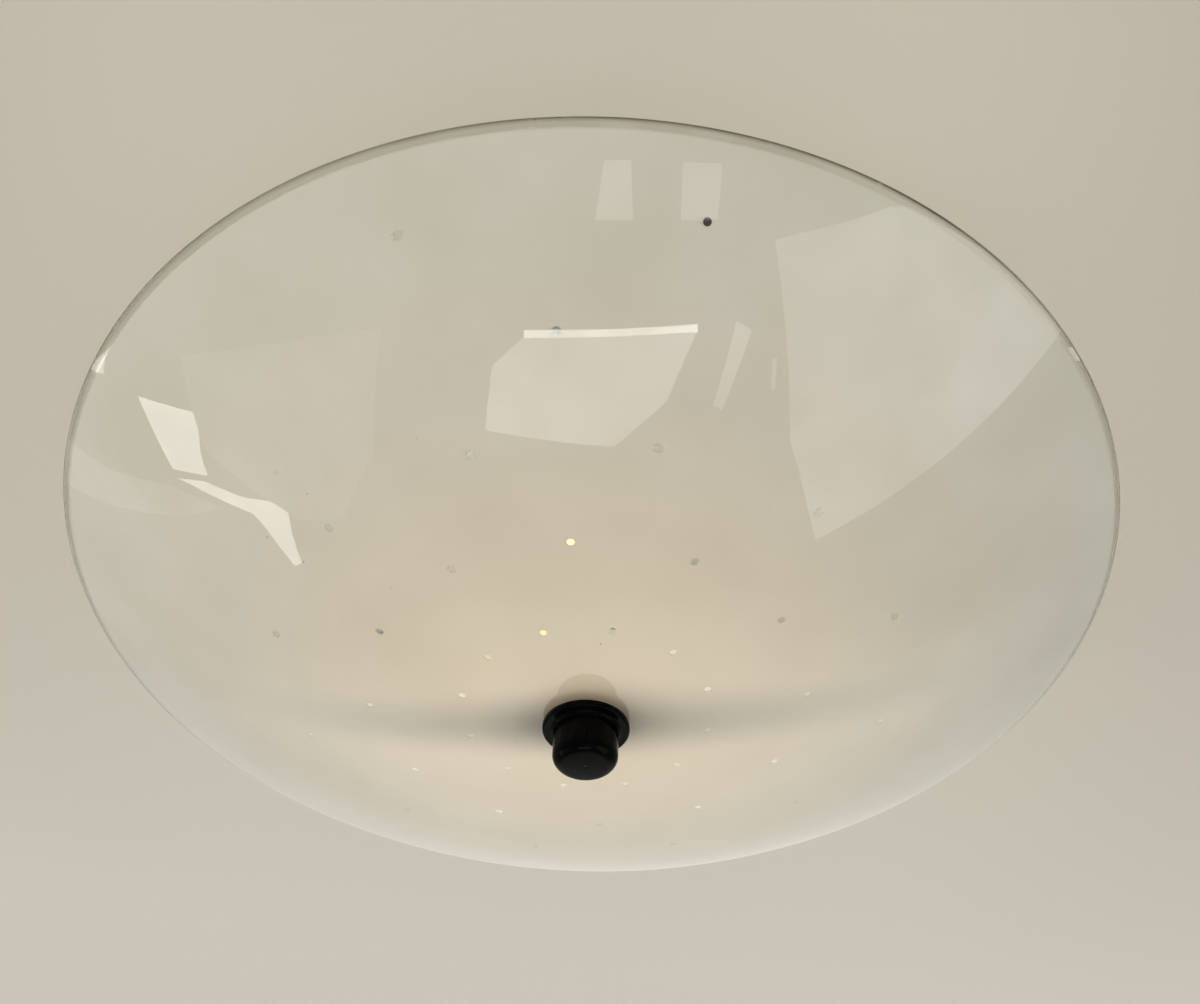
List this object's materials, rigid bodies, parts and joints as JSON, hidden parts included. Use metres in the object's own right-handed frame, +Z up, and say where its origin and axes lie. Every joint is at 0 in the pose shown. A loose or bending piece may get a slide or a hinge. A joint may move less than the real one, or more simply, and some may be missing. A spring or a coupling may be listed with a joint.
{
  "type": "glass ceiling light",
  "caption": "Flush ceiling light: a shallow enamelled glass dish with clear dots, held under inward-facing bulbs by a black central knob on a threaded stem.",
  "frame": {"origin": "middle of the ceiling plate's upper face, which lies on the ceiling", "axes": "+Z up into the ceiling; the first lamp arm and the outermost dots point along -Y"},
  "size_m": [0.4494, 0.4494, 0.1271],
  "materials": {
    "clear_glass": "polished",
    "white_enamel": "gloss",
    "black_bakelite": "gloss",
    "brass": "satin",
    "rubber": "matte",
    "zinc_steel": "zinc plated",
    "white_painted_steel": "satin",
    "porcelain": "glazed",
    "opal_glass": "opal",
    "black_glass": "gloss",
    "brown_wire": "satin",
    "blue_wire": "satin",
    "black_nylon": "satin"
  },
  "bodies": {
    "base": {"clamp_washer": "zinc_steel", "stop_nut": "zinc_steel", "ceiling_plate": "white_painted_steel", "cable_bush": "rubber", "stem_bush": "brass", "stem_tube": "zinc_steel", "stem_lock_nut": "zinc_steel", "arm_screws": "zinc_steel", "bush_screws": "zinc_steel", "holder_screws": "zinc_steel", "earth_screw": "brass", "terminal_block": "porcelain", "terminal_fixing_screw": "zinc_steel", "terminal_sleeves": "brass", "terminal_screws": "zinc_steel", "wire_straps": "black_nylon", "holder_arm_1": "white_painted_steel", "holder_arm_2": "white_painted_steel", "holder_arm_3": "white_painted_steel", "holder_body_1": "porcelain", "holder_body_2": "porcelain", "holder_body_3": "porcelain", "holder_sleeve_1": "brass", "holder_sleeve_2": "brass", "holder_sleeve_3": "brass", "holder_contact_1": "brass", "holder_contact_2": "brass", "holder_contact_3": "brass", "live_wire_1": "brown_wire", "live_wire_2": "brown_wire", "live_wire_3": "brown_wire", "neutral_wire_1": "blue_wire", "neutral_wire_2": "blue_wire", "neutral_wire_3": "blue_wire"},
    "shade": {"glass_dish": "clear_glass", "enamel_coat": "white_enamel", "upper_gasket": "rubber", "lower_gasket": "rubber"},
    "finial": {"finial_knob": "black_bakelite", "finial_insert": "brass"},
    "bulb_1": {"bulb_glass_1": "opal_glass", "bulb_cap_1": "brass", "bulb_insulator_1": "black_glass", "bulb_contact_1": "brass"},
    "bulb_2": {"bulb_glass_2": "opal_glass", "bulb_cap_2": "brass", "bulb_insulator_2": "black_glass", "bulb_contact_2": "brass"},
    "bulb_3": {"bulb_glass_3": "opal_glass", "bulb_cap_3": "brass", "bulb_insulator_3": "black_glass", "bulb_contact_3": "brass"}
  },
  "joints": [
    {"name": "dish_lower", "type": "slide", "parent": "base", "child": "shade", "axis": [0, 0, -1], "range_m": [0, 0.012]},
    {"name": "finial_turn", "type": "hinge", "parent": "shade", "child": "finial", "pos_m": [0, 0, -0.12], "axis": [0, 0, -1], "range_deg": [0, 4320]},
    {"name": "bulb_1_out", "type": "slide", "parent": "base", "child": "bulb_1", "axis": [0, 1, 0], "range_m": [0, 0.018]},
    {"name": "bulb_2_out", "type": "slide", "parent": "base", "child": "bulb_2", "axis": [-0.866, -0.5, 0], "range_m": [0, 0.018]},
    {"name": "bulb_3_out", "type": "slide", "parent": "base", "child": "bulb_3", "axis": [0.866, -0.5, 0], "range_m": [0, 0.018]}
  ],
  "couplings": [
    {"joint": "finial_turn", "follows": "dish_lower", "rad_per_m": 6283.2}
  ]
}
